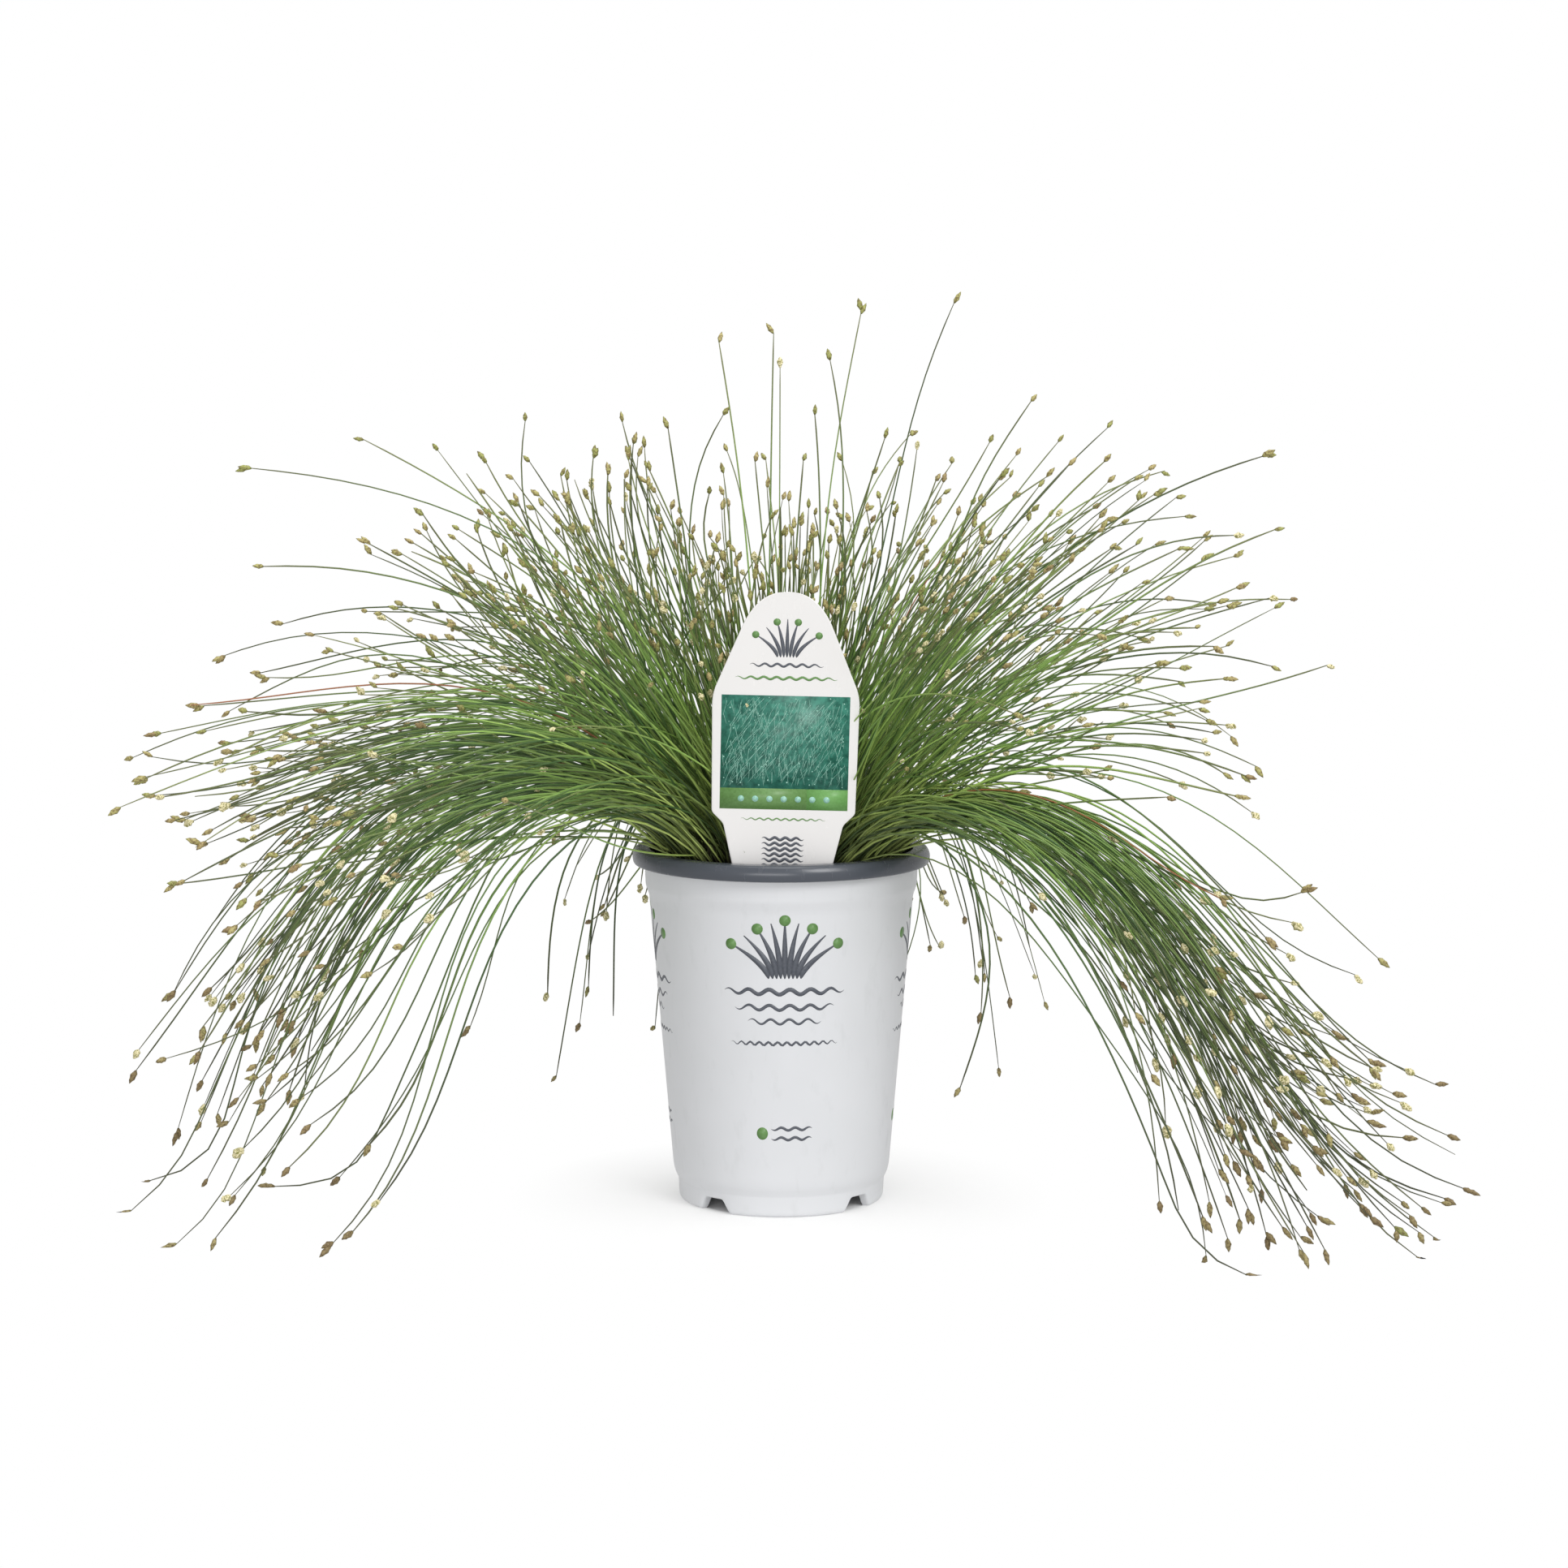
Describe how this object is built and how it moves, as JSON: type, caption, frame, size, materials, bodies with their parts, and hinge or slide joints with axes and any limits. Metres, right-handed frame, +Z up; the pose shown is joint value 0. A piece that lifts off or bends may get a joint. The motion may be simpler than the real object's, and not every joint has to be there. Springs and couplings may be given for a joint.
{
  "type": "potted fiber optic grass",
  "caption": "Tuft of thin arching stems tipped with small spikelets, growing from a root crown in soil in a round white nursery pot, with a plant label at the front.",
  "frame": {"origin": "the pot's axis on the surface that it stands on, at the foot of the pot", "axes": "+Z up along the pot axis, the label faces -Y, +X to the right of the label seen from the front and along the widest spread of the stems"},
  "size_m": [0.474, 0.317, 0.3272],
  "materials": {
    "pot_plastic": "thin white injection-moulded plastic with a slate grey rolled rim",
    "potting_soil": "dark moist potting mix of bark and peat",
    "label_plastic": "smooth white plastic sheet",
    "root_crown": "dense fibrous base of old and new stem bases",
    "stems": "fine green stems with straw-coloured spikelets"
  },
  "bodies": {
    "root": {"pot": "pot_plastic", "potting_soil": "potting_soil", "plant_label": "label_plastic", "root_crown": "root_crown", "upright_1": "stems", "upright_2": "stems", "upright_3": "stems", "upright_4": "stems", "upright_5": "stems", "upright_6": "stems", "tall_1": "stems", "tall_2": "stems", "tall_3": "stems", "tall_4": "stems", "reach_1": "stems", "reach_2": "stems", "right_high_1": "stems", "right_high_2": "stems", "right_high_3": "stems", "right_high_4": "stems", "right_high_5": "stems", "back_high_1": "stems", "back_high_2": "stems", "back_high_3": "stems", "left_high_1": "stems", "left_high_2": "stems", "left_high_3": "stems", "left_high_4": "stems", "left_high_5": "stems", "front_high_1": "stems", "front_high_2": "stems", "right_wide_1": "stems", "right_wide_2": "stems", "right_wide_3": "stems", "right_wide_4": "stems", "back_wide_1": "stems", "back_wide_2": "stems", "back_wide_3": "stems", "back_wide_4": "stems", "left_wide_1": "stems", "left_wide_2": "stems", "left_wide_3": "stems", "left_wide_4": "stems", "left_wide_5": "stems", "left_wide_6": "stems", "right_cascade_1": "stems", "right_cascade_2": "stems", "right_cascade_3": "stems", "right_cascade_4": "stems", "right_cascade_5": "stems", "back_cascade_1": "stems", "back_cascade_2": "stems", "back_cascade_3": "stems", "back_cascade_4": "stems", "back_cascade_5": "stems", "left_cascade_1": "stems", "left_cascade_2": "stems", "left_cascade_3": "stems", "left_cascade_4": "stems", "left_cascade_5": "stems"}
  },
  "joints": []
}
